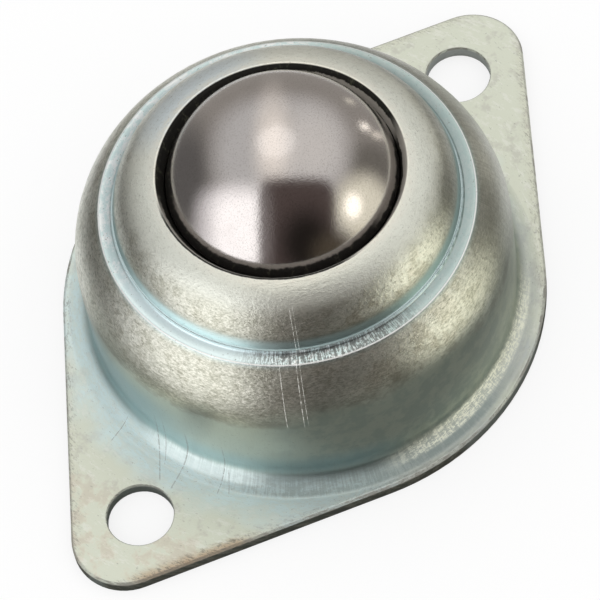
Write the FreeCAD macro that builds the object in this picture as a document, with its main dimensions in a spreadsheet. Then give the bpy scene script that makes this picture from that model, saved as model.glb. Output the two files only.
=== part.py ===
import FreeCAD, Part
import math
import os

import Sketcher

# Ball castor: a load ball on small bearing balls, in a pressed steel housing with two bolt holes.
#
# The frame has +Z up through the load ball and +X along the line of the bolt holes. Its origin is
# the centre of the flange's underside. Lengths are in millimetres and angles in degrees.

DRIVING_DIMENSIONS = (
    ("sheet_thickness", 1.0, "steel of the housing"),
    ("hole_pitch", 40.0, "between the two bolt holes"),
    ("hole_radius", 2.25, "bolt hole"),
    ("hole_edge_round", 0.1, "die roll round a bolt hole, on top"),
    ("flange_waist_radius", 16.55, "wide arcs of the flange, about the origin"),
    ("flange_end_radius", 3.65, "rounded end of the flange"),
    ("flange_end_offset", 21.72, "centre of a rounded end, from the origin"),
    ("flange_edge_round", 0.2, "die roll round the flange, on top"),
    ("wall_radius", 14.65, "upright wall of the housing, outside"),
    ("root_fillet", 1.5, "between wall and flange, outside"),
    ("wall_top", 7.93, "height where the wall turns into the lower dome"),
    ("lower_dome_radius", 6.09, "section of the lower dome, outside"),
    ("ledge_height", 12.6, "step between the two domes, on top"),
    ("ledge_edge_round", 0.12, "outer edge of that step"),
    ("groove_fillet", 0.2, "between the step and the upper dome, outside"),
    ("upper_dome_radius", 4.41, "section of the upper dome, outside"),
    ("upper_dome_offset", 7.18, "centre of that section, from the axis"),
    ("upper_dome_height", 12.17, "centre of that section, above the base"),
    ("lip_radius", 8.25, "outer edge of the mouth"),
    ("lip_edge_round", 0.12, "rounding of that edge"),
    ("mouth_radius", 7.77, "inner edge of the mouth, smaller than the load ball"),
    ("load_ball_radius", 7.9375, "ball of 5/8 inch"),
    ("load_ball_height", 13.7, "centre of the load ball, above the base"),
    ("bearing_ball_radius", 1.984375, "ball of 5/32 inch"),
    ("ball_clearance", 0.04, "inside and outside the layer of bearing balls"),
    ("bearing_row_pitch", 23.75, "from one row of bearing balls to the next, in degrees"),
    ("cup_thickness", 1.6, "bearing cup"),
    ("cup_rim_height", 10.6, "rim of the bearing cup, above the base"),
    ("cup_seat_clearance", 0.02, "bevel of the cup's rim to the lower dome"),
)

# Bearing balls in each row, from the one under the load ball to the row at the cup's rim.
BALLS_IN_ROW = (1, 6, 11, 14)

START, END, CENTRE = 1, 2, 3
ORIGIN = (-1, 1)
HORIZONTAL_AXIS = -1
VERTICAL_AXIS = -2

doc = FreeCAD.newDocument("ball_castor")


def make_dimensions():
    """Fill the sheet with one aliased number a row, and a note beside it."""
    sheet = doc.addObject("Spreadsheet::Sheet", "Dimensions")
    for row, (alias, value, note) in enumerate(DRIVING_DIMENSIONS, start=1):
        sheet.set(f"A{row}", str(value))
        sheet.setAlias(f"A{row}", alias)
        sheet.set(f"B{row}", note)
    doc.recompute()
    return sheet


dimensions = make_dimensions()


def size(alias):
    """Give a driving dimension as a number."""
    return float(dimensions.get(alias))


def cell(formula):
    """Turn the words of a formula that name driving dimensions into references to their cells."""
    aliases = {alias for alias, _, _ in DRIVING_DIMENSIONS}
    return " ".join(f"Dimensions.{word}" if word in aliases else word for word in formula.split())


def height_on_circle(centre, radius, across):
    """Height of a circle's upper half at a distance from the axis."""
    return centre[1] + math.sqrt(radius ** 2 - (across - centre[0]) ** 2)


def across_on_circle(centre, radius, height):
    """Distance from the axis of a circle's outer half at a height."""
    return centre[0] + math.sqrt(radius ** 2 - (height - centre[1]) ** 2)


def along(start, end, distance):
    """Point at a distance from start on the way to end."""
    full = math.dist(start, end)
    return tuple(a + (b - a) * distance / full for a, b in zip(start, end))


def vector(point):
    return FreeCAD.Vector(point[0], point[1], 0)


def line(start, end):
    return Part.LineSegment(vector(start), vector(end))


def arc(centre, start, end):
    """Counterclockwise arc from start to end about the centre."""
    circle = Part.Circle(vector(centre), FreeCAD.Vector(0, 0, 1), math.dist(centre, start))
    angles = [math.atan2(p[1] - centre[1], p[0] - centre[0]) for p in (start, end)]
    return Part.ArcOfCircle(circle, *angles)


def make_body(name):
    body = doc.addObject("PartDesign::Body", name)
    body.Label = name
    return body


def add_sketch(body, name, plane_role):
    """Start a sketch on one of the body's own origin planes."""
    sketch = body.newObject("Sketcher::SketchObject", name)
    plane = next(plane for plane in body.Origin.OriginFeatures if plane.Role == plane_role)
    sketch.AttachmentSupport = [(plane, "")]
    sketch.MapMode = "FlatFace"
    return sketch


def constrain(sketch, kind, *elements):
    sketch.addConstraint(Sketcher.Constraint(kind, *elements))


def dimension(sketch, kind, elements, value, formula):
    """Constrain a length and bind it to the sheet."""
    index = sketch.addConstraint(Sketcher.Constraint(kind, *elements, value))
    sketch.setExpression(f"Constraints[{index}]", cell(formula))


def radius(sketch, curve, alias_formula):
    dimension(sketch, "Radius", (curve,), sketch.Geometry[curve].Radius, alias_formula)


def distance_across(sketch, curve, end, formula):
    """Bind a point's distance from the sketch's upright axis."""
    value = sketch.getPoint(curve, end).x
    dimension(sketch, "DistanceX", (*ORIGIN, curve, end), value, formula)


def distance_up(sketch, curve, end, formula):
    """Bind a point's distance from the sketch's level axis."""
    value = sketch.getPoint(curve, end).y
    dimension(sketch, "DistanceY", (*ORIGIN, curve, end), value, formula)


def revolve(body, sketch, name):
    """Turn a section all the way round the axis of the castor."""
    turned = body.newObject("PartDesign::Revolution", name)
    turned.Profile = sketch
    turned.ReferenceAxis = (sketch, ["V_Axis"])
    turned.Angle = 360.0
    doc.recompute()
    return turned


def round_edges(body, name, formula, belongs):
    """Fillet those edges of the body that the test picks."""
    solid = body.Tip
    picked = [f"Edge{i}" for i, edge in enumerate(solid.Shape.Edges, start=1) if belongs(edge)]
    if not picked:
        raise RuntimeError(f"{name} found no edge to round")
    fillet = body.newObject("PartDesign::Fillet", name)
    fillet.Base = (solid, picked)
    fillet.setExpression("Radius", cell(formula))
    doc.recompute()
    return fillet


def is_ring(edge, ring_radius, height):
    """Whether an edge is the whole circle of that radius and height round the castor's axis."""
    curve = edge.Curve
    if not isinstance(curve, Part.Circle):
        return False
    on_axis = math.hypot(curve.Center.x, curve.Center.y) < 0.001
    return on_axis and abs(curve.Radius - ring_radius) < 0.001 and abs(curve.Center.z - height) < 0.001


def flange_outline(sketch):
    """Two wide arcs about the dome, two rounded ends, and the four tangents between them."""
    waist = size("flange_waist_radius")
    end_radius = size("flange_end_radius")
    end_offset = size("flange_end_offset")
    lean = math.acos((waist - end_radius) / end_offset)
    wide = (waist * math.cos(lean), waist * math.sin(lean))
    tight = (end_offset + end_radius * math.cos(lean), end_radius * math.sin(lean))

    def mirrored(point, x_sign, y_sign):
        return (point[0] * x_sign, point[1] * y_sign)

    right_end = (end_offset, 0)
    left_end = (-end_offset, 0)
    sketch.addGeometry([
        arc(right_end, mirrored(tight, 1, -1), mirrored(tight, 1, 1)),
        line(mirrored(tight, 1, 1), mirrored(wide, 1, 1)),
        arc((0, 0), mirrored(wide, 1, 1), mirrored(wide, -1, 1)),
        line(mirrored(wide, -1, 1), mirrored(tight, -1, 1)),
        arc(left_end, mirrored(tight, -1, 1), mirrored(tight, -1, -1)),
        line(mirrored(tight, -1, -1), mirrored(wide, -1, -1)),
        arc((0, 0), mirrored(wide, -1, -1), mirrored(wide, 1, -1)),
        line(mirrored(wide, 1, -1), mirrored(tight, 1, -1)),
    ])
    right_arc, _, upper_arc, _, left_arc, _, lower_arc, _ = range(8)
    for curve in range(8):
        constrain(sketch, "Tangent", curve, END, (curve + 1) % 8, START)
    for wide_arc in (upper_arc, lower_arc):
        constrain(sketch, "Coincident", wide_arc, CENTRE, *ORIGIN)
    constrain(sketch, "PointOnObject", right_arc, CENTRE, HORIZONTAL_AXIS)
    constrain(sketch, "Symmetric", right_arc, CENTRE, left_arc, CENTRE, VERTICAL_AXIS)
    constrain(sketch, "Equal", right_arc, left_arc)
    constrain(sketch, "Equal", upper_arc, lower_arc)
    distance_across(sketch, right_arc, CENTRE, "flange_end_offset")
    radius(sketch, upper_arc, "flange_waist_radius")
    radius(sketch, right_arc, "flange_end_radius")


def add_flange(body):
    """Flat flange, open inside where the drawn shell grows out of it."""
    sketch = add_sketch(body, "FlangeOutline", "XY_Plane")
    flange_outline(sketch)
    opening_radius = size("wall_radius") + size("root_fillet")
    circle = Part.Circle(FreeCAD.Vector(0, 0, 0), FreeCAD.Vector(0, 0, 1), opening_radius)
    opening = sketch.addGeometry(circle)
    constrain(sketch, "Coincident", opening, CENTRE, *ORIGIN)
    radius(sketch, opening, "wall_radius + root_fillet")
    flange = body.newObject("PartDesign::Pad", "Flange")
    flange.Profile = sketch
    flange.setExpression("Length", cell("sheet_thickness"))
    doc.recompute()


def shell_points():
    """Corners and arc centres of the shell's section, as (across, height) pairs by name."""
    sheet = size("sheet_thickness")
    wall = size("wall_radius")
    root = size("root_fillet")
    lower = size("lower_dome_radius")
    ledge = size("ledge_height")
    groove = size("groove_fillet")
    upper = size("upper_dome_radius")
    at = {}
    at["root"] = (wall + root, sheet + root)
    at["lower"] = (wall - lower, size("wall_top"))
    at["upper"] = (size("upper_dome_offset"), size("upper_dome_height"))
    groove_height = ledge + groove
    at["groove"] = (across_on_circle(at["upper"], upper + groove, groove_height), groove_height)
    at["foot"] = (wall + root, sheet)
    at["wall_foot"] = (wall, sheet + root)
    at["wall_head"] = (wall, size("wall_top"))
    at["crease"] = (across_on_circle(at["lower"], lower, ledge), ledge)
    at["ledge_end"] = (at["groove"][0], ledge)
    at["groove_end"] = along(at["upper"], at["groove"], upper)
    at["lip"] = (size("lip_radius"), height_on_circle(at["upper"], upper, size("lip_radius")))
    mouth = size("mouth_radius")
    at["mouth"] = (mouth, height_on_circle(at["upper"], upper - sheet, mouth))
    at["inner_groove_end"] = along(at["upper"], at["groove"], upper - sheet)
    at["inner_ledge_end"] = (at["groove"][0], ledge - sheet)
    inner_ledge = across_on_circle(at["lower"], lower - sheet, ledge - sheet)
    at["inner_crease"] = (inner_ledge, ledge - sheet)
    at["inner_wall_head"] = (wall - sheet, size("wall_top"))
    at["inner_wall_foot"] = (wall - sheet, sheet + root)
    at["inner_foot"] = (wall + root, 0)
    return at


def shell_section(sketch):
    """Section of the drawn shell: up the outside to the lip, and down the inside to the foot.

    Inside and outside share their arc centres, so the sheet keeps its thickness round each bend.
    """
    at = shell_points()
    sketch.addGeometry([
        arc(at["root"], at["wall_foot"], at["foot"]),
        line(at["wall_foot"], at["wall_head"]),
        arc(at["lower"], at["wall_head"], at["crease"]),
        line(at["crease"], at["ledge_end"]),
        arc(at["groove"], at["groove_end"], at["ledge_end"]),
        arc(at["upper"], at["groove_end"], at["lip"]),
        line(at["lip"], at["mouth"]),
        arc(at["upper"], at["inner_groove_end"], at["mouth"]),
        arc(at["groove"], at["inner_groove_end"], at["inner_ledge_end"]),
        line(at["inner_ledge_end"], at["inner_crease"]),
        arc(at["lower"], at["inner_wall_head"], at["inner_crease"]),
        line(at["inner_wall_head"], at["inner_wall_foot"]),
        arc(at["root"], at["inner_wall_foot"], at["inner_foot"]),
        line(at["inner_foot"], at["foot"]),
    ])
    root, wall, lower, ledge, groove, upper, lip = range(7)
    inner_upper, inner_groove, inner_ledge, inner_lower, inner_wall, inner_root, foot = range(7, 14)
    constrain(sketch, "Tangent", root, START, wall, START)
    constrain(sketch, "Tangent", wall, END, lower, START)
    constrain(sketch, "Coincident", lower, END, ledge, START)
    constrain(sketch, "Tangent", ledge, END, groove, END)
    constrain(sketch, "Tangent", groove, START, upper, START)
    constrain(sketch, "Coincident", upper, END, lip, START)
    constrain(sketch, "Coincident", lip, END, inner_upper, END)
    constrain(sketch, "Tangent", inner_upper, START, inner_groove, START)
    constrain(sketch, "Tangent", inner_groove, END, inner_ledge, START)
    constrain(sketch, "Coincident", inner_ledge, END, inner_lower, END)
    constrain(sketch, "Tangent", inner_lower, START, inner_wall, START)
    constrain(sketch, "Tangent", inner_wall, END, inner_root, START)
    constrain(sketch, "Coincident", inner_root, END, foot, START)
    constrain(sketch, "Coincident", foot, END, root, END)
    constrain(sketch, "PointOnObject", foot, START, HORIZONTAL_AXIS)
    for upright in (wall, foot):
        constrain(sketch, "Vertical", upright)
    for level in (ledge, inner_ledge):
        constrain(sketch, "Horizontal", level)
    constrain(sketch, "Coincident", root, CENTRE, inner_root, CENTRE)
    constrain(sketch, "Coincident", upper, CENTRE, inner_upper, CENTRE)
    constrain(sketch, "Vertical", root, CENTRE, root, END)
    bend_radii = (
        (root, "root_fillet"),
        (inner_root, "root_fillet + sheet_thickness"),
        (lower, "lower_dome_radius"),
        (inner_lower, "lower_dome_radius - sheet_thickness"),
        (groove, "groove_fillet"),
        (inner_groove, "groove_fillet + sheet_thickness"),
        (upper, "upper_dome_radius"),
        (inner_upper, "upper_dome_radius - sheet_thickness"),
    )
    for bend, formula in bend_radii:
        radius(sketch, bend, formula)
    distance_across(sketch, wall, START, "wall_radius")
    distance_up(sketch, lower, CENTRE, "wall_top")
    distance_up(sketch, inner_lower, CENTRE, "wall_top")
    distance_up(sketch, ledge, START, "ledge_height")
    distance_up(sketch, inner_ledge, START, "ledge_height - sheet_thickness")
    distance_across(sketch, upper, CENTRE, "upper_dome_offset")
    distance_up(sketch, upper, CENTRE, "upper_dome_height")
    distance_across(sketch, lip, START, "lip_radius")
    distance_across(sketch, lip, END, "mouth_radius")


def add_bolt_holes(body):
    """Two plain holes through the flange."""
    sketch = add_sketch(body, "BoltHoleCentres", "XY_Plane")
    half_pitch = size("hole_pitch") / 2
    for side in (1, -1):
        centre = FreeCAD.Vector(side * half_pitch, 0, 0)
        sketch.addGeometry(Part.Circle(centre, FreeCAD.Vector(0, 0, 1), size("hole_radius")))
    right, left = range(2)
    constrain(sketch, "PointOnObject", right, CENTRE, HORIZONTAL_AXIS)
    constrain(sketch, "Symmetric", right, CENTRE, left, CENTRE, VERTICAL_AXIS)
    constrain(sketch, "Equal", right, left)
    distance_across(sketch, right, CENTRE, "hole_pitch / 2")
    radius(sketch, right, "hole_radius")
    before = body.Tip.Shape.Volume
    holes = body.newObject("PartDesign::Pocket", "BoltHoles")
    holes.Profile = sketch
    holes.Type = "ThroughAll"
    holes.Reversed = True
    doc.recompute()
    expected = 2 * math.pi * size("hole_radius") ** 2 * size("sheet_thickness")
    if abs(before - holes.Shape.Volume - expected) > 0.01:
        raise RuntimeError("the bolt holes don't go through the flange")


def on_hole_edge(edge):
    """Whether an edge is the top edge of a bolt hole."""
    curve = edge.Curve
    if not isinstance(curve, Part.Circle):
        return False
    at_top = abs(curve.Center.z - size("sheet_thickness")) < 0.001
    beside_dome = abs(abs(curve.Center.x) - size("hole_pitch") / 2) < 0.001
    return at_top and beside_dome and abs(curve.Radius - size("hole_radius")) < 0.001


def on_flange_edge(edge):
    """Whether an edge lies on the flange's outline, at its top."""
    box = edge.BoundBox
    at_top = abs(box.ZMin - size("sheet_thickness")) < 0.001 and box.ZLength < 0.001
    middle = edge.valueAt((edge.FirstParameter + edge.LastParameter) / 2)
    outside_shell = math.hypot(middle.x, middle.y) > size("wall_radius") + size("root_fillet") + 0.01
    return at_top and outside_shell and not on_hole_edge(edge)


def make_housing():
    """Housing drawn from one sheet: flange, wall, lower dome, step, upper dome and mouth."""
    body = make_body("housing")
    add_flange(body)
    section = add_sketch(body, "ShellSection", "XZ_Plane")
    shell_section(section)
    revolve(body, section, "DrawnShell")
    add_bolt_holes(body)
    round_edges(body, "FlangeDieRoll", "flange_edge_round", on_flange_edge)
    round_edges(body, "HoleDieRoll", "hole_edge_round", on_hole_edge)
    at = shell_points()
    round_edges(body, "LedgeEdge", "ledge_edge_round", lambda edge: is_ring(edge, *at["crease"]))
    round_edges(body, "LipEdge", "lip_edge_round", lambda edge: is_ring(edge, *at["lip"]))
    return body


def cup_section(sketch):
    """Bowl about the load ball's centre, its rim bevelled to lie against the lower dome."""
    centre = (0, size("load_ball_height"))
    layer = 2 * (size("bearing_ball_radius") + size("ball_clearance"))
    inside = size("load_ball_radius") + layer
    outside = inside + size("cup_thickness")
    rim = size("cup_rim_height")
    seat_centre = shell_points()["lower"]
    gap = size("sheet_thickness") + size("cup_seat_clearance")
    seat = size("lower_dome_radius") - gap
    rim_inside = (math.sqrt(inside ** 2 - (centre[1] - rim) ** 2), rim)
    rim_outside = (across_on_circle(seat_centre, seat, rim), rim)
    bevel_foot = circles_meet(centre, outside, seat_centre, seat)
    inner_pole = (0, centre[1] - inside)
    outer_pole = (0, centre[1] - outside)
    sketch.addGeometry([
        arc(centre, inner_pole, rim_inside),
        line(rim_inside, rim_outside),
        arc(seat_centre, bevel_foot, rim_outside),
        arc(centre, outer_pole, bevel_foot),
        line(outer_pole, inner_pole),
    ])
    raceway, rim_line, bevel, outer_face, axis_line = range(5)
    constrain(sketch, "Coincident", raceway, END, rim_line, START)
    constrain(sketch, "Coincident", rim_line, END, bevel, END)
    constrain(sketch, "Coincident", bevel, START, outer_face, END)
    constrain(sketch, "Coincident", outer_face, START, axis_line, START)
    constrain(sketch, "Coincident", axis_line, END, raceway, START)
    constrain(sketch, "Coincident", raceway, CENTRE, outer_face, CENTRE)
    constrain(sketch, "PointOnObject", raceway, CENTRE, VERTICAL_AXIS)
    constrain(sketch, "PointOnObject", axis_line, START, VERTICAL_AXIS)
    constrain(sketch, "PointOnObject", axis_line, END, VERTICAL_AXIS)
    constrain(sketch, "Horizontal", rim_line)
    race = "load_ball_radius + 2 * bearing_ball_radius + 2 * ball_clearance"
    radius(sketch, raceway, race)
    radius(sketch, outer_face, f"{race} + cup_thickness")
    radius(sketch, bevel, "lower_dome_radius - sheet_thickness - cup_seat_clearance")
    distance_up(sketch, raceway, CENTRE, "load_ball_height")
    distance_up(sketch, rim_line, START, "cup_rim_height")
    distance_across(sketch, bevel, CENTRE, "wall_radius - lower_dome_radius")
    distance_up(sketch, bevel, CENTRE, "wall_top")


def circles_meet(first_centre, first_radius, second_centre, second_radius):
    """Outer one of the two points that two circles share."""
    apart = math.dist(first_centre, second_centre)
    reach = (apart ** 2 + first_radius ** 2 - second_radius ** 2) / (2 * apart)
    rise = math.sqrt(first_radius ** 2 - reach ** 2)
    foot = along(first_centre, second_centre, reach)
    step = ((second_centre[1] - first_centre[1]) / apart, (first_centre[0] - second_centre[0]) / apart)
    both = [(foot[0] + side * rise * step[0], foot[1] + side * rise * step[1]) for side in (1, -1)]
    return max(both)


def make_bearing_cup():
    """Hardened bowl that the bearing balls roll in."""
    body = make_body("bearing_cup")
    section = add_sketch(body, "CupSection", "XZ_Plane")
    cup_section(section)
    revolve(body, section, "Bowl")
    return body


def make_ball(name, radius_alias, place):
    """Ball whose centre is bound to three formulas, across, along and up."""
    ball = doc.addObject("Part::Sphere", name)
    ball.Label = name
    ball.setExpression("Radius", cell(radius_alias))
    for axis, formula in zip("xyz", place):
        ball.setExpression(f"Placement.Base.{axis}", cell(formula))
    return ball


def make_load_ball():
    """Ball that the load rolls on, and that turns freely in every direction."""
    return make_ball("main_ball", "load_ball_radius", ("0", "0", "load_ball_height"))


def make_bearing_balls():
    """Rows of bearing balls round the lower half of the load ball, in one layer."""
    layer = "( load_ball_radius + bearing_ball_radius + ball_clearance )"
    balls = []
    for row, count in enumerate(BALLS_IN_ROW):
        tilt = f"{row} * bearing_row_pitch"
        for place in range(count):
            turn = (place + 0.5 * (row % 2)) * 360 / count
            across = f"{layer} * sin( {tilt} ) * cos( {turn} )"
            along_row = f"{layer} * sin( {tilt} ) * sin( {turn} )"
            up = f"load_ball_height - {layer} * cos( {tilt} )"
            name = f"bearing_ball_{len(balls) + 1:02d}"
            balls.append(make_ball(name, "bearing_ball_radius", (across, along_row, up)))
    return balls


def check_document():
    """Stop if any object of the document failed to build."""
    for item in doc.Objects:
        if "Invalid" in item.State or "Error" in item.State:
            raise RuntimeError(f"{item.Label} failed: {item.State}")


def check_shape(sub_part):
    """Stop if a sub-part isn't one sound solid."""
    shape = sub_part.Shape
    if shape.isNull() or not shape.isValid() or len(shape.Solids) != 1:
        raise RuntimeError(f"{sub_part.Label} has no sound solid")


sub_parts = [make_housing(), make_bearing_cup(), make_load_ball(), *make_bearing_balls()]
doc.recompute()
check_document()
for sub_part in sub_parts:
    check_shape(sub_part)

os.makedirs("parts", exist_ok=True)
for sub_part in sub_parts:
    sub_part.Shape.exportStep(f"parts/{sub_part.Label}.step")
    print(f"{sub_part.Label}: {sub_part.Shape.Volume:.1f} mm3")
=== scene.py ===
import math

import bpy
from mathutils import Matrix, Vector


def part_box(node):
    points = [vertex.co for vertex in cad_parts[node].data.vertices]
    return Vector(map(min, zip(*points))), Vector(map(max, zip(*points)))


# Looks of the ball castor: a zinc-plated pressed housing round a polished load ball. Lengths are in
# metres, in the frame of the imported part: +Z up through the ball, +X along the bolt holes.

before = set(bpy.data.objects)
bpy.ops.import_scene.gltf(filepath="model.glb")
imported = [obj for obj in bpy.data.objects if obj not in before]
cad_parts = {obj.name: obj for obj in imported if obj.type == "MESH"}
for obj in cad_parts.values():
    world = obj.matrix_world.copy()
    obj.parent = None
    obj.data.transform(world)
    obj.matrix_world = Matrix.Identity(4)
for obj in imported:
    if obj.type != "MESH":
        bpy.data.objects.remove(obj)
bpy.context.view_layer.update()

MM = 0.001

# The housing's section, from the CAD model. A bend's centre is (distance from the axis, height).
FLANGE_TOP = 1.0 * MM
FLANGE_FOOT = 16.15 * MM
WALL_RADIUS = 14.65 * MM
LOWER_BEND = (8.56 * MM, 7.93 * MM)
LOWER_RADIUS = 6.09 * MM
UPPER_BEND = (7.18 * MM, 12.17 * MM)
UPPER_RADIUS = 4.41 * MM
LEDGE_HEIGHT = 12.6 * MM
LEDGE_REACH = 12.47 * MM
GROOVE_TOP = 13.1 * MM
END_FACE_FOOT = 15.5 * MM
LIP_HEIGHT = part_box("housing")[1][2]
# The flange's straight edges: distance from the axis, and normal where x and y are positive.
FLANGE_WAIST = 16.55 * MM
FLANGE_SLANT = (0.594, 0.8045)

# How the plating's pattern runs. Most of it is noise on a circle of this radius round the axis. The
# streaks run outwards: this many for each radian, and each of about this length.
TURNED_RADIUS = 7.0 * MM
DRAWN_STREAKS = 120.0
DRAWN_LENGTH = 0.75 * MM

# Depths of the reliefs that only bend the reflections.
PLATING_RELIEF = 0.014 * MM
BALL_RELIEF = 0.007 * MM
CUP_RELIEF = 0.01 * MM
# Dip of the ledge towards the axis, which keeps dark cards out of its reflection.
LEDGE_DIP = 26.0

# The camera, as found from the outlines of the ball, the mouth, the ledge and the flange.
CAMERA_AZIMUTH = math.radians(-47.697)
CAMERA_ELEVATION = math.radians(59.235)
CAMERA_ROLL = math.radians(-10.824)
CAMERA_DISTANCE = 281.537 * MM
CAMERA_OFFSET = (-0.303 * MM, -0.37 * MM)
AIM_HEIGHT = 0.194 * MM
SENSOR_WIDTH = 36.0
LENS_LENGTH = 247.15

# The floor: half its width, how far it lies below the part, and its share of plain white as the
# camera sees it. Metal sees it darker on the camera's side, and not at all beyond FLOOR_MIRRORED.
FLOOR_HALF = 2.0
FLOOR_DROP = 0.02 * MM
FLOOR_WHITE_SHARE = 0.78
FLOOR_DARKER = (8 * MM, -4 * MM)
FLOOR_MIRRORED = (27 * MM, 37 * MM)

# Colours, as linear red, green and blue.
WALL = {
    "olive": (0.45, 0.49, 0.43),
    "dark": (0.37, 0.42, 0.38),
    # Painted reflection of the wide flange.
    "pale": (0.62, 0.67, 0.60),
    "deep teal": (0.35, 0.48, 0.51),
    "teal": (0.44, 0.59, 0.61),
    "streaks": (0.40, 0.43, 0.39),
}
LEDGE = {
    "blue": (0.68, 0.84, 0.86),
    "white": (0.92, 0.98, 1.0),
    # Painted light and shade: the ledge lighter on one side and darker teal on the other.
    "bright": (0.80, 0.96, 1.0),
    "teal": (0.42, 0.54, 0.53),
    "dark streaks": (0.16, 0.175, 0.175),
    "groove": (0.46, 0.62, 0.62),
    # Painted light on one side of the groove.
    "bright groove": (0.72, 0.90, 0.90),
    # Painted light between the groove and the ledge.
    "corner_light": (0.76, 0.90, 0.91),
    # Painted highlight along the ledge's outer edge.
    "crease": (0.97, 0.99, 0.97),
}
RUBBED = {
    "pale": (0.82, 0.855, 0.77),
    "grey": (0.61, 0.63, 0.54),
    # Painted shade on the upper dome.
    "painted_shade": (0.34, 0.355, 0.32),
    "brown": (0.46, 0.42, 0.35),
    "low": (0.60, 0.62, 0.55),
    "olive": (0.48, 0.475, 0.39),
    "cream": (0.90, 0.93, 0.85),
    # Painted bluish sheen, on zinc's own blue tint.
    "blue": (0.74, 0.86, 0.95),
    "bright specks": (1.0, 0.99, 0.90),
    "dark specks": (0.26, 0.26, 0.20),
}
FLANGE = {
    "cream": (0.76, 0.81, 0.71),
    "grey": (0.62, 0.64, 0.58),
    "pale": (0.90, 0.93, 0.88),
    "warm": (0.80, 0.71, 0.57),
    "blue foot": (0.78, 0.94, 0.96),
    "grey foot": (0.60, 0.63, 0.61),
    "rust": (0.50, 0.34, 0.20),
    "grime": (0.15, 0.135, 0.11),
    "sheared": (0.15, 0.145, 0.125),
    "sheared pale": (0.33, 0.31, 0.27),
    "hole wall": (0.42, 0.45, 0.44),
}
ROOT = {
    "teal": (0.36, 0.44, 0.44),
    "cream glint": (0.93, 0.95, 0.80),
    "blue glint": (0.88, 1.0, 1.0),
}
MOUTH = {
    "lip": (0.96, 0.95, 0.86),
    # The mouth's end face: its pale colour, and black painted shade for where it lies in shadow.
    "unshaded": (0.40, 0.38, 0.34),
    "mouth_shade": (0.010, 0.010, 0.008),
    "mottled_shade": (0.10, 0.105, 0.07),
}
MARKS = {
    "speck": (0.19, 0.185, 0.155),
    "smudge": (0.34, 0.32, 0.27),
    "draw line": (0.26, 0.28, 0.27),
    "scratch": (1.0, 0.99, 0.94),
}
STEEL = {
    "ball": (0.70, 0.665, 0.655),
    "ball grain": (0.48, 0.455, 0.44),
    "ball haze": (0.60, 0.565, 0.55),
    "cup": (0.56, 0.60, 0.63),
    "cup mottle": (0.40, 0.40, 0.38),
    "bearing": (0.62, 0.62, 0.62),
    "bearing grain": (0.46, 0.45, 0.44),
}
FLOOR_COLOUR = (0.95, 0.95, 0.95)
FLOOR_DARKER_COLOUR = (0.27, 0.28, 0.26)

# Marks on the housing as seen from above, in mm: from, to, width.
SCRATCHES = (
    ((-10.72, -6.41), (-12.47, -7.68), 0.04),
    ((-9.95, -7.20), (-11.85, -8.62), 0.05),
    ((-9.82, -7.37), (-11.70, -8.84), 0.03),
    ((-8.20, -5.90), (-9.30, -6.84), 0.04),
    ((-8.05, -6.05), (-9.20, -7.02), 0.025),
)
DRAW_LINES = (
    ((-14.55, 4.74), (-16.19, 4.81), 0.05),
    ((-14.57, 2.07), (-17.05, 0.40), 0.08),
    ((-14.60, 1.40), (-15.90, 0.75), 0.05),
    ((-14.65, -0.45), (-17.21, -0.68), 0.09),
    ((-14.30, -3.18), (-15.96, -3.56), 0.06),
    ((-14.64, -3.62), (-15.59, -4.19), 0.05),
)

# The studio: white to the camera and to diffuse surfaces, and these walls and cards to bare metal.
# A card's direction is given by where a mirror ball shows it to the camera of the photo: how far
# right and how far up from the ball's middle, from -1 to 1.
STUDIO_WHITE = (1.05, 1.05, 1.05)
STUDIO_WALL = (0.33, 0.31, 0.285)
# Cards: right, up, half width, half height, squareness, softness, colour.
STUDIO_CARDS = (
    (-0.80, 0.12, 0.20, 0.48, 2.0, 0.60, (0.13, 0.125, 0.12)),
    (0.70, 0.18, 0.22, 0.22, 2.0, 0.50, (0.18, 0.17, 0.15)),
    (-0.04, 0.29, 0.53, 0.46, 2.4, 0.24, (0.59, 0.585, 0.575)),
    (0.18, 0.34, 0.28, 0.30, 2.0, 0.70, (0.75, 0.73, 0.70)),
    (-0.10, 0.38, 0.11, 0.32, 2.0, 0.95, (1.12, 1.05, 0.96)),
    (-0.46, -0.32, 0.27, 0.34, 3.0, 0.30, (0.80, 0.78, 0.79)),
    (-0.36, -0.33, 0.24, 0.32, 3.0, 0.38, (1.50, 1.48, 1.47)),
    (0.64, -0.14, 0.22, 0.26, 2.0, 0.40, (0.95, 0.92, 0.76)),
    (0.68, -0.40, 0.10, 0.10, 2.0, 0.70, (0.80, 0.75, 0.57)),
    (0.56, -0.13, 0.065, 0.095, 2.0, 0.50, (2.1, 2.0, 1.75)),
    (0.645, 0.53, 0.035, 0.022, 2.0, 0.60, (2.2, 2.1, 1.9)),
    (0.75, 0.465, 0.05, 0.013, 2.0, 0.60, (1.6, 1.5, 1.3)),
    (0.52, 0.74, 0.03, 0.015, 2.0, 0.60, (1.1, 1.05, 0.9)),
    (0.10, -0.36, 0.31, 0.45, 6.0, 0.09, (0.090, 0.068, 0.063)),
    (-0.15, -0.32, 0.05, 0.34, 3.0, 0.60, (0.21, 0.185, 0.18)),
    (0.18, -0.44, 0.20, 0.26, 2.0, 0.60, (0.018, 0.015, 0.013)),
    (0.41, -0.52, 0.17, 0.17, 2.0, 0.60, (0.085, 0.07, 0.05)),
)


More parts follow.
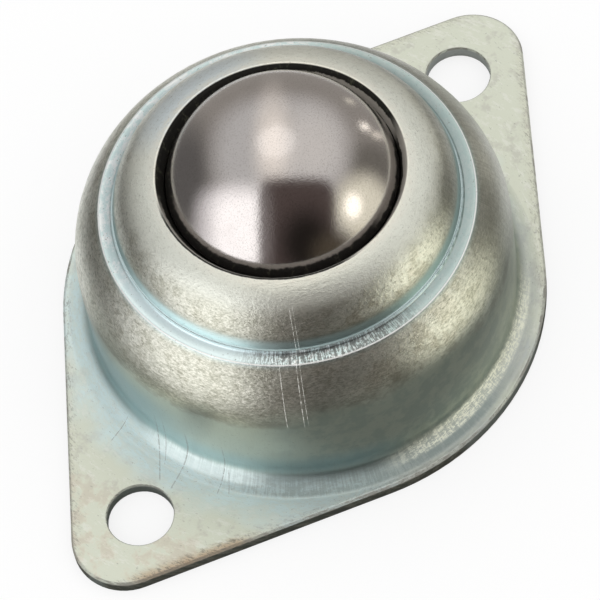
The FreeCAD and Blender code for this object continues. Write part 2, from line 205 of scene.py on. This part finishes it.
class Field:
    """A number or colour that varies over a surface. Arithmetic on it adds Math nodes."""

    def __init__(self, shader, socket):
        self.shader = shader
        self.socket = socket

    def _math(self, operation, *values):
        return self.shader.node("ShaderNodeMath", {"operation": operation}, dict(enumerate(values)))

    def __add__(self, other):
        return self._math("ADD", self, other)

    def __radd__(self, other):
        return self._math("ADD", other, self)

    def __sub__(self, other):
        return self._math("SUBTRACT", self, other)

    def __rsub__(self, other):
        return self._math("SUBTRACT", other, self)

    def __mul__(self, other):
        return self._math("MULTIPLY", self, other)

    def __rmul__(self, other):
        return self._math("MULTIPLY", other, self)

    def __truediv__(self, other):
        return self._math("DIVIDE", self, other)

    def __rtruediv__(self, other):
        return self._math("DIVIDE", other, self)

    def __pow__(self, other):
        return self._math("POWER", self, other)

    def __abs__(self):
        return self._math("ABSOLUTE", self)

    def least(self, other):
        return self._math("MINIMUM", self, other)

    def most(self, other):
        return self._math("MAXIMUM", self, other)

    def clamped(self):
        return self.most(0.0).least(1.0)

    def step(self, low, high):
        """Rise smoothly from 0 at low to 1 at high, or fall where low is the larger."""
        settings = {"interpolation_type": "SMOOTHSTEP"}
        inputs = {"Value": self, "From Min": low, "From Max": high}
        return self.shader.node("ShaderNodeMapRange", settings, inputs)

    def band(self, low, high, soft):
        """1 between low and high, falling to 0 over a soft edge outside them."""
        return self.step(low - soft, low) * self.step(high + soft, high)


class Shader:
    """A node tree, with one method that adds any node and gives the value of one of its outputs."""

    def __init__(self, tree):
        self.tree = tree
        tree.nodes.clear()

    def node(self, kind, settings=None, inputs=None, output=0):
        made = self.tree.nodes.new(kind)
        for name, value in (settings or {}).items():
            setattr(made, name, value)
        for name, value in (inputs or {}).items():
            if isinstance(value, Field):
                self.tree.links.new(value.socket, made.inputs[name])
            else:
                made.inputs[name].default_value = value
        return Field(self, made.outputs[output]) if made.outputs else made

    def place(self):
        """The point on the piece, in metres, at rest."""
        return self.node("ShaderNodeTexCoord", output="Object")

    def split(self, vector):
        inputs = {"Vector": vector}
        return [self.node("ShaderNodeSeparateXYZ", inputs=inputs, output=axis) for axis in "XYZ"]

    def joined(self, x, y, z):
        return self.node("ShaderNodeCombineXYZ", inputs={"X": x, "Y": y, "Z": z})

    def vector(self, operation, *values, output=0):
        settings = {"operation": operation}
        return self.node("ShaderNodeVectorMath", settings, dict(enumerate(values)), output)

    def length(self, first, second):
        """Length of the vector with these two parts."""
        return self.vector("LENGTH", self.joined(first, second, 0.0), output="Value")

    def noise(self, vector, size, detail=2.0, roughness=0.5):
        """Noise from 0 to 1 whose grains are about that size, in the vector's own unit."""
        inputs = {"Vector": vector, "Scale": 1.0 / size, "Detail": detail, "Roughness": roughness}
        return self.node("ShaderNodeTexNoise", inputs=inputs, output="Fac")

    def mix(self, under, over, share):
        """Colour between under and over."""
        inputs = {0: share, 6: rgba(under), 7: rgba(over)}
        return self.node("ShaderNodeMix", {"data_type": "RGBA"}, inputs, 2)

    def bump(self, height, depth):
        """Normal of a relief that is depth deep where height goes from 0 to 1."""
        return self.node("ShaderNodeBump", inputs={"Height": height, "Distance": depth})

    def ray(self, kind):
        """1 for rays of that kind, such as those of the camera."""
        return self.node("ShaderNodeLightPath", output=f"Is {kind} Ray")


def rgba(colour):
    return colour if isinstance(colour, Field) else (*colour, 1.0)


class Finish(Shader):
    """A surface material, with its values set on one Principled shader."""

    def __init__(self, name):
        self.material = bpy.data.materials.new(name)
        self.material.use_nodes = True
        super().__init__(self.material.node_tree)

    def paint(self, **values):
        inputs = {name.replace("_", " ").title(): value for name, value in values.items()}
        inputs["Base Color"] = rgba(inputs["Base Color"])
        surface = self.node("ShaderNodeBsdfPrincipled", inputs=inputs)
        self.node("ShaderNodeOutputMaterial", inputs={"Surface": surface})
        return self.material


class Spot:
    """A point on the housing: where it is, on which side, and the noises there, from 0 to 1."""

    def __init__(self, look):
        point = look.place()
        self.x, self.y, self.z = look.split(point)
        self.across = look.length(self.x, self.y)
        self.east = self.x / self.across
        self.north = self.y / self.across
        self.clouds = look.noise(point, 5.0 * MM, detail=2.0, roughness=0.6)
        self.patches = look.noise(point, 1.6 * MM, detail=3.0, roughness=0.7)
        turned = look.joined(self.east * TURNED_RADIUS, self.north * TURNED_RADIUS,
                             self.z - self.across)
        self.mottle = look.noise(turned, 0.42 * MM, detail=4.0, roughness=0.8)
        self.grain = look.noise(turned, 0.16 * MM, detail=2.0, roughness=0.85)
        drawn = look.joined(self.east * DRAWN_STREAKS, self.north * DRAWN_STREAKS,
                            (self.across + self.z) / DRAWN_LENGTH)
        self.streaks = look.noise(drawn, 1.0, detail=3.0, roughness=0.75)

    def near(self, azimuth, full, none):
        """1 within full degrees of that azimuth, falling to 0 at none degrees from it."""
        azimuth = math.radians(azimuth)
        facing = self.east * math.cos(azimuth) + self.north * math.sin(azimuth)
        return facing.step(math.cos(math.radians(none)), math.cos(math.radians(full)))

    def mark(self, start, end, width):
        """1 on a straight mark that is seen from above. Ends and width are in mm."""
        length = math.dist(start, end)
        along = ((end[0] - start[0]) / length, (end[1] - start[1]) / length)
        from_start = (self.x - start[0] * MM) * along[0] + (self.y - start[1] * MM) * along[1]
        aside = (self.y - start[1] * MM) * along[0] - (self.x - start[0] * MM) * along[1]
        half = width / 2 * MM
        in_width = abs(aside).step(half * 1.6, half * 0.6)
        return in_width * from_start.band(0.0, length * MM, 0.25 * MM)

    def marks(self, marks):
        """1 on any of these marks."""
        covers = [self.mark(*mark) for mark in marks]
        strongest = covers[0]
        for cover in covers[1:]:
            strongest = strongest.most(cover)
        return strongest


def housing_regions(look, spot):
    """Parts of the housing's surface, as covers from 0 to 1 by name."""
    z, across = spot.z, spot.across
    lower = look.length(across - LOWER_BEND[0], z - LOWER_BEND[1])
    upper = look.length(across - UPPER_BEND[0], z - UPPER_BEND[1])
    # The inner faces of the wall and of both domes, well within the sheet's outer face.
    wall_top = LOWER_BEND[1] - 0.13 * MM
    wall_inside = z.step(LOWER_BEND[1], wall_top)
    wall_inside = wall_inside * across.step(WALL_RADIUS - 0.35 * MM, WALL_RADIUS - 0.55 * MM)
    lower_inside = z.step(wall_top, LOWER_BEND[1])
    lower_inside = lower_inside * z.step(LEDGE_HEIGHT - 0.2 * MM, LEDGE_HEIGHT - 0.4 * MM)
    lower_inside = lower_inside * lower.step(LOWER_RADIUS - 0.29 * MM, LOWER_RADIUS - 0.49 * MM)
    upper_inside = z.step(LEDGE_HEIGHT + 0.1 * MM, LEDGE_HEIGHT + 0.3 * MM)
    upper_inside = upper_inside * upper.step(UPPER_RADIUS - 0.31 * MM, UPPER_RADIUS - 0.51 * MM)
    outside = 1.0 - (wall_inside + lower_inside + upper_inside).clamped()

    flange = z.step(FLANGE_TOP + 0.9 * MM, FLANGE_TOP + 0.15 * MM) * z.step(0.65 * MM, 0.8 * MM)
    rim = z.band(0.78 * MM, 0.97 * MM, 0.03 * MM)
    rim = rim * across.step(FLANGE_FOOT, FLANGE_FOOT + 0.1 * MM)
    sheared = z.band(0.05 * MM, 0.76 * MM, 0.05 * MM)
    sheared = sheared * across.step(FLANGE_FOOT - 0.25 * MM, FLANGE_FOOT)
    root = across.band(WALL_RADIUS + 0.4 * MM, FLANGE_FOOT - 0.3 * MM, 0.4 * MM)
    root = root * z.step(2.2 * MM, 1.7 * MM)
    groove = z.band(LEDGE_HEIGHT + 0.15 * MM, GROOVE_TOP + 0.25 * MM, 0.5 * MM) * outside
    ledge = z.band(LEDGE_HEIGHT - 0.05 * MM, LEDGE_HEIGHT + 0.12 * MM, 0.08 * MM)
    ledge = ledge * across.step(11.0 * MM, 11.3 * MM)
    # Painted highlight: a thin bright line along the ledge's outer edge.
    crease = z.band(LEDGE_HEIGHT - 0.06 * MM, LEDGE_HEIGHT - 0.02 * MM, 0.02 * MM)
    crease = crease * across.step(LEDGE_REACH - 0.17 * MM, LEDGE_REACH - 0.07 * MM)
    # Painted light: a pale line between the groove and the ledge, lifting the shade of that concave
    # fillet.
    corner_light = z.band(LEDGE_HEIGHT, LEDGE_HEIGHT + 0.3 * MM, 0.1 * MM)
    corner_light = corner_light * across.band(11.5 * MM, 11.6 * MM, 0.1 * MM)
    mouth = z.step(END_FACE_FOOT - 0.5 * MM, END_FACE_FOOT - 0.3 * MM)
    mouth = mouth * upper.step(UPPER_RADIUS - 0.025 * MM, UPPER_RADIUS - 0.08 * MM)
    lip = z.step(LIP_HEIGHT - 0.45 * MM, LIP_HEIGHT - 0.15 * MM)
    lip = lip * across.step(9.1 * MM, 8.35 * MM)
    return {
        "outside": outside, "flange": flange, "rim": rim, "sheared": sheared, "root": root,
        "groove": groove, "ledge": ledge, "crease": crease, "corner_light": corner_light, "mouth": mouth,
        "lip": lip,
    }


def wall_zinc(look, spot):
    """Zinc where the sheet lay free: olive and grey, with teal low down and a painted paler
    reflection on the side of the wide flange.
    """
    colour = look.mix(WALL["olive"], WALL["dark"], spot.patches.step(0.42, 0.58))
    # Painted reflection: the wall paler on the side of the wide flange, round azimuth -176.
    colour = look.mix(colour, WALL["pale"], spot.near(-176, 14, 36) * 0.9)
    deep = spot.z.step(8.0 * MM, 5.0 * MM) * spot.near(154, 8, 34)
    colour = look.mix(colour, WALL["deep teal"], deep * 0.8)
    low = spot.z.step(4.5 * MM, 2.6 * MM) * spot.near(-155, 20, 40)
    colour = look.mix(colour, WALL["teal"], low * 0.7)
    return look.mix(colour, WALL["streaks"], spot.streaks.step(0.50, 0.64) * 0.15)


def flange_zinc(look, spot):
    """Zinc on the flange: greenish cream, and pale blue or grey round the foot of the wall."""
    colour = look.mix(FLANGE["cream"], FLANGE["grey"], spot.patches.step(0.50, 0.64) * 0.7)
    colour = look.mix(colour, FLANGE["pale"], spot.mottle.step(0.52, 0.62) * 0.5)
    warm = spot.x.step(-18.5 * MM, -20.5 * MM) * spot.patches.step(0.46, 0.60)
    colour = look.mix(colour, FLANGE["warm"], warm * 0.32)
    near_foot = spot.across + spot.clouds * (5.0 * MM) + spot.x * 0.06
    near_foot = near_foot.step(20.2 * MM, 18.0 * MM)
    foot = look.mix(FLANGE["blue foot"], FLANGE["grey foot"], spot.near(-80, 34, 56) * 0.85)
    return look.mix(colour, foot, near_foot * (0.65 + 0.35 * spot.mottle.step(0.60, 0.42)))


def rubbed_zinc(look, spot):
    """Zinc worn by handling on the two domes: pale, with dark and bright specks, painted shade on
    one side and a painted bluish sheen near the mouth.
    """
    z = spot.z
    colour = look.mix(RUBBED["pale"], RUBBED["grey"], spot.patches.step(0.44, 0.62))
    # Painted shade: a darker, streaked band on the upper dome round azimuth -22.
    painted_shade = z.step(15.7 * MM, 14.8 * MM) * spot.near(-22, 40, 66)
    streaked = painted_shade * (0.65 + 0.25 * spot.streaks.step(0.40, 0.60))
    colour = look.mix(colour, RUBBED["painted_shade"], streaked)
    brown = z.band(9.6 * MM, 14.3 * MM, 1.2 * MM) * spot.near(-122, 8, 34)
    brown = brown * spot.patches.step(0.46, 0.58)
    colour = look.mix(colour, RUBBED["brown"], brown * 0.35)
    colour = look.mix(colour, RUBBED["low"], z.step(12.5 * MM, 11.8 * MM) * 0.3)
    colour = look.mix(colour, RUBBED["olive"], spot.near(-160, 14, 42) * 0.6)
    colour = look.mix(colour, RUBBED["cream"], z.step(14.9 * MM, 15.9 * MM) * 0.9)
    # Painted sheen: bluish white near the mouth round azimuth 75, on zinc's own blue tint.
    blue = z.step(14.6 * MM, 15.8 * MM) * spot.near(75, 12, 40)
    colour = look.mix(colour, RUBBED["blue"], blue * 0.7)
    bright = spot.grain.step(0.50, 0.40) * z.step(16.2 * MM, 14.8 * MM)
    colour = look.mix(colour, RUBBED["bright specks"], bright * (0.45 - 0.3 * painted_shade))
    dark = spot.mottle.step(0.51, 0.63) * 0.27 + spot.grain.step(0.53, 0.64) * 0.40
    dark = dark * (1.0 - 0.6 * z.step(14.6 * MM, 15.7 * MM)) * (1.0 - 0.5 * painted_shade)
    return look.mix(colour, RUBBED["dark specks"], dark.clamped())


def ledge_zinc(look, spot):
    """Zinc on the ledge: blue, painted lighter on one side and darker teal on the other, with dark
    streaks on the camera's side.
    """
    colour = look.mix(LEDGE["blue"], LEDGE["white"], spot.mottle.step(0.44, 0.60))
    # Painted light: the ledge lighter on the side round azimuth 180.
    colour = look.mix(colour, LEDGE["bright"], spot.near(180, 20, 38) * 0.9)
    # Painted shade: the ledge darker teal on the side round azimuth -50.
    colour = look.mix(colour, LEDGE["teal"], spot.near(-50, 60, 88) * 0.75)
    streaked = (spot.streaks * 0.7 + spot.grain * 0.3).step(0.44, 0.53) * spot.near(-132, 14, 34)
    return look.mix(colour, LEDGE["dark streaks"], streaked * 0.9)


def housing_colour(look, spot, at, rubbed):
    """Zinc of each region, with painted light on the groove, the ledge and its edges, before
    soiling, painted shade and marks.
    """
    # Painted light: the groove lighter on the side round azimuth 180.
    groove = look.mix(LEDGE["groove"], LEDGE["bright groove"], spot.near(180, 16, 40))
    corner_light = at["corner_light"] * (1.0 - 0.8 * spot.near(-137, 14, 32))
    lip = at["lip"] * (0.35 + 0.45 * spot.mottle.step(0.45, 0.6))
    colour = look.mix(wall_zinc(look, spot), flange_zinc(look, spot), at["flange"])
    colour = look.mix(colour, rubbed_zinc(look, spot), rubbed)
    colour = look.mix(colour, groove, at["groove"] * 0.85)
    colour = look.mix(colour, ledge_zinc(look, spot), at["ledge"])
    colour = look.mix(colour, LEDGE["corner_light"], corner_light * 0.8)
    colour = look.mix(colour, LEDGE["crease"], at["crease"])
    return look.mix(colour, MOUTH["lip"], lip)


def shine_root(look, spot, at, colour):
    """Lay teal and a glint along the root fillet. Gives the colour and the glint's cover."""
    ribs = (spot.streaks * 0.5 + spot.patches * 0.2 + spot.mottle * 0.3).step(0.53, 0.45)
    teal = at["root"] * (1.0 - 0.35 * ribs) * spot.near(-126, 24, 48)
    colour = look.mix(colour, ROOT["teal"], teal * 0.8)
    spots = (spot.streaks * 0.4 + spot.grain * 0.6).step(0.54, 0.45)
    ribbed = spot.near(-174, 7, 20) * (0.6 + 0.4 * ribs)
    spotted = spot.near(-90, 18, 40) * (0.3 + 0.6 * spots)
    glint = spot.across.band(14.9 * MM, 15.35 * MM, 0.25 * MM) * spot.z.step(2.5 * MM, 2.0 * MM)
    glint = glint * ribbed.most(spotted)
    bright = look.mix(ROOT["cream glint"], ROOT["blue glint"], spot.near(180, 40, 60))
    return look.mix(colour, bright, glint), glint


def soil_edge(look, spot, at, colour):
    """Lay rust and grime along the flange's edge. Gives the colour and the grime's cover."""
    from_edge = FLANGE_WAIST - abs(spot.x) * FLANGE_SLANT[0] - abs(spot.y) * FLANGE_SLANT[1]
    stained = (from_edge + spot.mottle * (0.9 * MM)).step(1.35 * MM, 0.5 * MM)
    stained = stained * at["flange"] * at["outside"]
    rusty = spot.x.band(-23.6 * MM, -18.6 * MM, 1.2 * MM) * spot.y.step(0.0, -2.0 * MM)
    colour = look.mix(colour, FLANGE["rust"], stained * (0.08 + 0.62 * rusty))
    grime = stained * spot.grain.step(0.50, 0.60) * (0.35 + 0.45 * rusty)
    grime = grime.most(at["rim"] * (0.25 + 0.55 * spot.mottle.step(0.42, 0.58)))
    colour = look.mix(colour, FLANGE["grime"], grime)
    sheared = look.mix(FLANGE["sheared"], FLANGE["sheared pale"], spot.mottle.step(0.46, 0.62))
    in_hole = from_edge.step(0.8 * MM, 1.2 * MM)
    sheared = look.mix(sheared, FLANGE["hole wall"], in_hole * 0.75)
    return look.mix(colour, sheared, at["sheared"] * 0.92), grime


def shade_mouth_face(look, spot, at, colour):
    """Paint shade on the mouth's end face: black where it lies in shadow, pale where it doesn't.
    Gives the colour and the face's cover.
    """
    # Painted shade: black on the end face where it lies in shadow; the rest keeps its pale colour.
    face = (spot.z - END_FACE_FOOT) / (LIP_HEIGHT - END_FACE_FOOT) + (spot.mottle - 0.5) * 0.5
    unshaded = face.step(0.30, 0.40) * spot.near(-62, 16, 34)
    unshaded = unshaded.most(face.step(0.60, 0.70) * spot.near(-135, 75, 95))
    unshaded = unshaded.most(face.step(0.56, 0.46) * spot.near(-8, 22, 36))
    # Painted shade: a black band over the lip on the near side.
    over_lip = spot.z.step(END_FACE_FOOT - 0.3 * MM, END_FACE_FOOT - 0.1 * MM)
    over_lip = over_lip * (spot.across + spot.mottle * (0.1 * MM)).step(8.46 * MM, 8.40 * MM)
    over_lip = over_lip * spot.near(-165, 45, 65) * (at["outside"] - at["mouth"]).clamped()
    black = at["mouth"] * (1.0 - unshaded) + over_lip
    mouth_shade = look.mix(MOUTH["mouth_shade"], MOUTH["mottled_shade"], spot.mottle.step(0.56, 0.66) * 0.6)
    face_colour = look.mix(MOUTH["unshaded"], mouth_shade, black.clamped())
    mouth = at["mouth"].most(over_lip)
    return look.mix(colour, face_colour, mouth), mouth


def zinc_plating():
    """Pressed steel with bright zinc: blue where it lay free, rubbed and speckled on the domes,
    with painted light and shade in places.
    """
    look = Finish("zinc_plated_steel")
    spot = Spot(look)
    at = housing_regions(look, spot)
    z, mottle, grain, root = spot.z, spot.mottle, spot.grain, at["root"]

    rub_edge = LOWER_BEND[1] + 0.3 * MM + (spot.clouds - 0.5) * (3.0 * MM)
    rub_edge = rub_edge + spot.near(-122, 14, 40) * (1.5 * MM)
    rub_low = (z - rub_edge).step(-1.0 * MM, 1.2 * MM)
    rub_low = rub_low * z.step(LEDGE_HEIGHT + 0.02 * MM, LEDGE_HEIGHT - 0.12 * MM)
    rub_high = z.step(GROOVE_TOP - 0.1 * MM, GROOVE_TOP + 1.1 * MM)
    rubbed = (rub_low + rub_high).clamped() * at["outside"]
    colour = housing_colour(look, spot, at, rubbed)

    specks = grain.step(0.64, 0.72) * (0.35 + 0.35 * at["ledge"] + 0.3 * at["rim"])
    smudge = (z - rub_edge).band(-0.3 * MM, 0.0, 0.5 * MM) * at["outside"]
    smudge = smudge * spot.patches.step(0.42, 0.55)
    colour = look.mix(colour, MARKS["speck"], specks)
    colour = look.mix(colour, MARKS["smudge"], smudge * 0.35)
    colour, glint = shine_root(look, spot, at, colour)
    lines = spot.marks(DRAW_LINES) * z.step(4.6 * MM, 2.8 * MM) * mottle.step(0.36, 0.50)
    scratches = spot.marks(SCRATCHES) * z.step(7.6 * MM, 8.4 * MM)
    scratches = scratches * (0.15 + 0.75 * mottle.step(0.40, 0.56))
    colour = look.mix(colour, MARKS["draw line"], lines * 0.65)
    colour = look.mix(colour, MARKS["scratch"], scratches * 0.7)
    colour, grime = soil_edge(look, spot, at, colour)
    colour, mouth = shade_mouth_face(look, spot, at, colour)

    # Painted shade on the mouth's end face counts here with the specks, lines and grime.
    dirt_and_shade = (specks + lines + grime + mouth).clamped()
    roughness = 0.27 + 0.08 * mottle + 0.14 * at["flange"] + 0.15 * at["sheared"] + 0.15 * root
    roughness = roughness + 0.25 * dirt_and_shade
    height = grain * (0.3 + 0.9 * rubbed + 1.2 * root) + mottle * (0.6 + 1.8 * rubbed + 1.2 * root)
    into_ledge = (LEDGE_REACH - spot.across).most(0.0) / MM
    height = height + spot.streaks * root * 0.6 + into_ledge ** 2.0 * at["ledge"] * LEDGE_DIP
    # Milky zinc, bright scratches and painted highlights show their own colour more than they
    # mirror the studio.
    milky = (rubbed * z.step(14.6 * MM, 15.8 * MM)).most(at["flange"]) * 0.18
    milky = milky.most(rubbed * spot.near(-122, 20, 45) * 0.09).most(at["groove"] * 0.12)
    # The ledge's outer edge line, the pale line below the groove and the root's glint are painted
    # highlights.
    bright = scratches * 0.7 + at["crease"] * 0.4 + at["corner_light"] * 0.5 + glint * 0.5
    metallic = 1.0 - 0.8 * dirt_and_shade - (milky + bright * at["outside"])
    return look.paint(base_color=colour, metallic=metallic.clamped(), roughness=roughness,
                      normal=look.bump(height, PLATING_RELIEF))


def polished_ball():
    """Hardened ball, polished and lightly rubbed by use."""
    look = Finish("load_ball_steel")
    point = look.place()
    grain = look.noise(point, 0.10 * MM, detail=3.0, roughness=0.7)
    ripple = look.noise(point, 0.30 * MM, detail=4.0, roughness=0.65)
    haze = look.noise(point, 2.5 * MM, detail=4.0, roughness=0.6)
    colour = look.mix(STEEL["ball"], STEEL["ball grain"], grain.step(0.50, 0.66) * 0.6)
    colour = look.mix(colour, STEEL["ball haze"], haze.step(0.45, 0.75) * 0.5)
    roughness = 0.09 + 0.06 * haze + 0.04 * grain
    normal = look.bump(grain * 0.6 + ripple * 0.7, BALL_RELIEF)
    return look.paint(base_color=colour, metallic=1.0, roughness=roughness, normal=normal)


def cup_steel():
    """Bowl of hardened steel, zinc plated, with drawing marks."""
    look = Finish("hardened_cup_steel")
    point = look.place()
    x, y, z = look.split(point)
    along = look.joined(look.length(x, y) / (0.11 * MM), z / (0.11 * MM), x / (3.0 * MM))
    rings = look.noise(along, 1.0)
    mottle = look.noise(point, 0.7 * MM, detail=4.0, roughness=0.65)
    colour = look.mix(STEEL["cup"], STEEL["cup mottle"], mottle.step(0.4, 0.7))
    roughness = 0.3 + 0.15 * mottle
    normal = look.bump(rings * 0.6 + mottle * 0.4, CUP_RELIEF)
    return look.paint(base_color=colour, metallic=0.95, roughness=roughness, normal=normal)


def bearing_steel():
    """Small hardened balls, bright and slightly oiled."""
    look = Finish("bearing_ball_steel")
    grain = look.noise(look.place(), 0.15 * MM)
    colour = look.mix(STEEL["bearing"], STEEL["bearing grain"], grain.step(0.5, 0.75))
    return look.paint(base_color=colour, metallic=1.0, roughness=0.12 + 0.08 * grain)


def dress(node, material):
    """Give a CAD node its material."""
    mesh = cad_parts[node].data
    mesh.materials.clear()
    mesh.materials.append(material)


def dress_castor():
    dress("housing", zinc_plating())
    dress("bearing_cup", cup_steel())
    dress("main_ball", polished_ball())
    steel = bearing_steel()
    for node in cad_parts:
        if node.startswith("bearing_ball_"):
            dress(node, steel)


def camera_axes():
    """Right, up and back of the camera, as unit vectors."""
    azimuth, elevation, roll = CAMERA_AZIMUTH, CAMERA_ELEVATION, CAMERA_ROLL
    back = Vector((math.sin(azimuth) * math.cos(elevation),
                   -math.cos(azimuth) * math.cos(elevation), math.sin(elevation)))
    level = Vector((math.cos(azimuth), math.sin(azimuth), 0.0))
    upright = back.cross(level)
    right = level * math.cos(roll) + upright * math.sin(roll)
    up = upright * math.cos(roll) - level * math.sin(roll)
    return right, up, back


def add_camera():
    right, up, back = camera_axes()
    data = bpy.data.cameras.new("camera")
    data.sensor_width = SENSOR_WIDTH
    data.lens = LENS_LENGTH
    data.clip_start = 0.01
    data.clip_end = 10.0
    camera = bpy.data.objects.new("camera", data)
    bpy.context.scene.collection.objects.link(camera)
    place = right * CAMERA_OFFSET[0] + up * CAMERA_OFFSET[1] + back * CAMERA_DISTANCE
    turn = Matrix((right, up, back)).transposed().to_4x4()
    camera.matrix_world = Matrix.Translation(place + Vector((0, 0, AIM_HEIGHT))) @ turn
    bpy.context.scene.camera = camera


def add_area_lamp(name, place, size, power):
    """Soft lamp that faces the castor."""
    data = bpy.data.lights.new(name, "AREA")
    data.shape = "DISK"
    data.size = size
    data.energy = power
    lamp = bpy.data.objects.new(name, data)
    bpy.context.scene.collection.objects.link(lamp)
    lamp.location = place
    lamp.rotation_euler = (-Vector(place)).to_track_quat("-Z", "Y").to_euler()


def mirror_place(look):
    """Where a mirror ball shows the direction of a ray: how far right, and how far up."""
    right, up, back = camera_axes()
    direction = look.node("ShaderNodeTexCoord", output="Generated")
    half_way = look.vector("NORMALIZE", look.vector("ADD", direction, tuple(back)))
    return [look.vector("DOT_PRODUCT", half_way, tuple(axis), output="Value")
            for axis in (right, up)]


def add_world():
    """Studio: white behind the castor, with soft light and dark cards in what metal reflects."""
    world = bpy.data.worlds.new("studio")
    bpy.context.scene.world = world
    world.use_nodes = True
    look = Shader(world.node_tree)
    right, up = mirror_place(look)
    walls = STUDIO_WALL
    for place_right, place_up, half_width, half_height, square, soft, colour in STUDIO_CARDS:
        aside = abs((right - place_right) / half_width) ** square
        above = abs((up - place_up) / half_height) ** square
        reach = (aside + above) ** (1.0 / square)
        walls = look.mix(walls, colour, reach.step(1.0 + soft, 1.0 - soft))
    plain = (look.ray("Diffuse") + look.ray("Camera")).clamped()
    colour = look.mix(walls, STUDIO_WHITE, plain)
    background = look.node("ShaderNodeBackground", inputs={"Color": colour, "Strength": 1.0})
    look.node("ShaderNodeOutputWorld", inputs={"Surface": background})


def floor_finish():
    """Pale floor with the castor's soft shadow. Metal sees it close by, and the studio beyond."""
    look = Finish("pale_floor")
    x, y = look.split(look.place())[:2]
    glossy = look.ray("Glossy")
    away = camera_axes()[2].xy.normalized() * -1.0
    camera_side = (x * away.x + y * away.y).step(*FLOOR_DARKER)
    colour = look.mix(FLOOR_COLOUR, FLOOR_DARKER_COLOUR, glossy * camera_side)
    shaded = look.node("ShaderNodeBsdfDiffuse", inputs={"Color": colour})
    white = look.node("ShaderNodeEmission", inputs={"Color": (1.0, 1.0, 1.0, 1.0), "Strength": 1.0})
    white_share = look.ray("Camera") * FLOOR_WHITE_SHARE
    pale = look.node("ShaderNodeMixShader", inputs={0: white_share, 1: shaded, 2: white})
    beyond = look.node("ShaderNodeBsdfTransparent")
    beyond_share = glossy * look.length(x, y).step(*FLOOR_MIRRORED)
    surface = look.node("ShaderNodeMixShader", inputs={0: beyond_share, 1: pale, 2: beyond})
    look.node("ShaderNodeOutputMaterial", inputs={"Surface": surface})
    return look.material


def add_floor():
    half = FLOOR_HALF
    mesh = bpy.data.meshes.new("floor")
    corners = [(-half, -half, 0), (half, -half, 0), (half, half, 0), (-half, half, 0)]
    mesh.from_pydata(corners, [], [(0, 1, 2, 3)])
    mesh.materials.append(floor_finish())
    floor = bpy.data.objects.new("floor", mesh)
    floor.location.z = -FLOOR_DROP
    bpy.context.scene.collection.objects.link(floor)


dress_castor()
add_camera()
add_world()
add_floor()
add_area_lamp("overhead_lamp", place=(0.10, 0.09, 0.50), size=0.30, power=0.05)

scene = bpy.context.scene
scene.view_settings.view_transform = "Standard"
